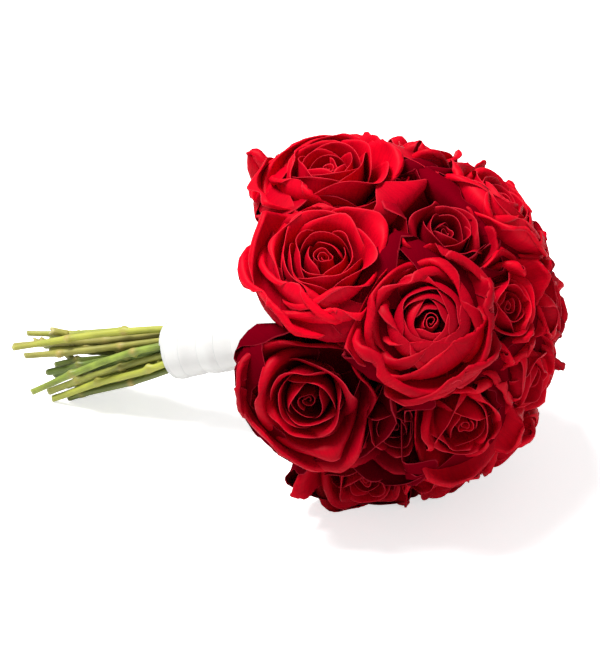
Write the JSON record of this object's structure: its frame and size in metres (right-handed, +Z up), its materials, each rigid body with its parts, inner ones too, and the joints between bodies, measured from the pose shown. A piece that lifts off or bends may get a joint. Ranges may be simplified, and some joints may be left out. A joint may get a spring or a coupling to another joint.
{
  "type": "rose bouquet",
  "caption": "Hand-tied round bouquet of red roses lying on its side, with green stems and a white satin ribbon round the handle.",
  "frame": {"origin": "on the surface that the bouquet lies on, below the middle of its whole length and breadth", "axes": "+X along the bouquet from the cut stems to the blooms, +Z up, -Y the side that the picture shows"},
  "size_m": [0.3675, 0.2322, 0.217],
  "materials": {
    "petal_red": "velvety red petals",
    "stem_green": "fresh green rose stems",
    "tie_green": "florist's tape",
    "ribbon_white": "satin ribbon"
  },
  "bodies": {
    "root": {"bloom_01": "petal_red", "bloom_02": "petal_red", "bloom_03": "petal_red", "bloom_04": "petal_red", "bloom_05": "petal_red", "bloom_06": "petal_red", "bloom_07": "petal_red", "bloom_08": "petal_red", "bloom_09": "petal_red", "bloom_10": "petal_red", "bloom_11": "petal_red", "bloom_12": "petal_red", "bloom_13": "petal_red", "bloom_14": "petal_red", "bloom_15": "petal_red", "bloom_16": "petal_red", "bloom_17": "petal_red", "bloom_18": "petal_red", "bloom_19": "petal_red", "bloom_20": "petal_red", "bloom_21": "petal_red", "bloom_22": "petal_red", "bloom_23": "petal_red", "stem_01": "stem_green", "stem_02": "stem_green", "stem_03": "stem_green", "stem_04": "stem_green", "stem_05": "stem_green", "stem_06": "stem_green", "stem_07": "stem_green", "stem_08": "stem_green", "stem_09": "stem_green", "stem_10": "stem_green", "stem_11": "stem_green", "stem_12": "stem_green", "stem_13": "stem_green", "stem_14": "stem_green", "stem_15": "stem_green", "stem_16": "stem_green", "stem_17": "stem_green", "stem_18": "stem_green", "stem_19": "stem_green", "stem_20": "stem_green", "stem_21": "stem_green", "stem_22": "stem_green", "stem_23": "stem_green", "binding_tie": "tie_green", "ribbon_wrap": "ribbon_white"}
  },
  "joints": []
}
